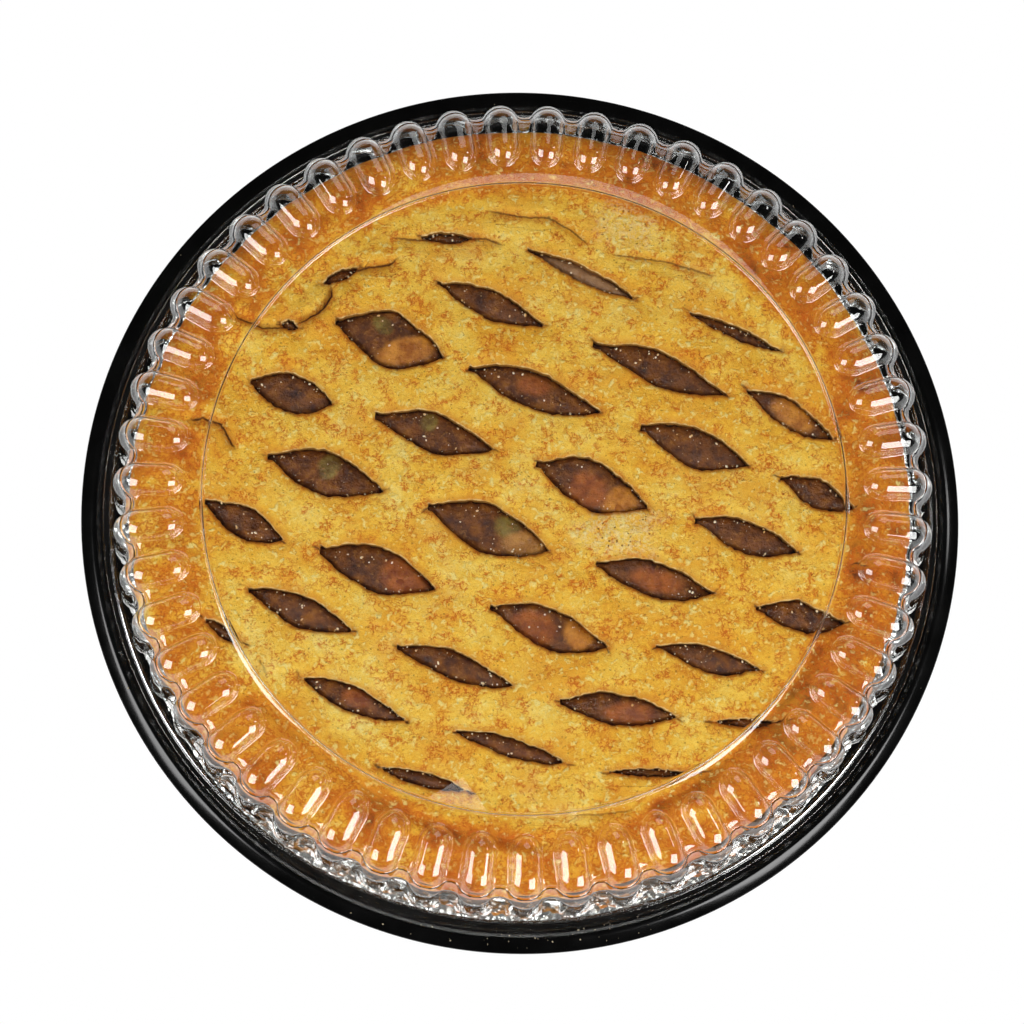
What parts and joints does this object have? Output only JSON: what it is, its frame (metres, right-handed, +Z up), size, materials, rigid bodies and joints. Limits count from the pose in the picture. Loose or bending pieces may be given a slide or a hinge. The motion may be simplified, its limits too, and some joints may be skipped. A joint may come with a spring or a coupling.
{
  "type": "lattice apple pie in a tray with a clear dome",
  "caption": "Round lattice-top apple pie in a foil pan, standing in a black plastic carry tray and covered by a clear fluted dome.",
  "frame": {"origin": "on the table under the middle of the tray", "axes": "+Z up; +Y away from the viewer and +X to the viewer's right, with the lattice's long openings running down to the right"},
  "size_m": [0.266, 0.266, 0.0649],
  "materials": {
    "black_plastic": "glossy black thermoformed sheet",
    "foil": "bright crinkled foil",
    "filling": "dark brown glossy cooked fruit, wet to look at",
    "crust": "golden baked pastry, browner at the rim, flaky and matt",
    "clear_plastic": "clear glossy thermoformed sheet"
  },
  "bodies": {
    "root": {"tray": "black_plastic", "foil_pan": "foil", "filling": "filling", "lattice_crust": "crust", "dome": "clear_plastic"}
  },
  "joints": []
}
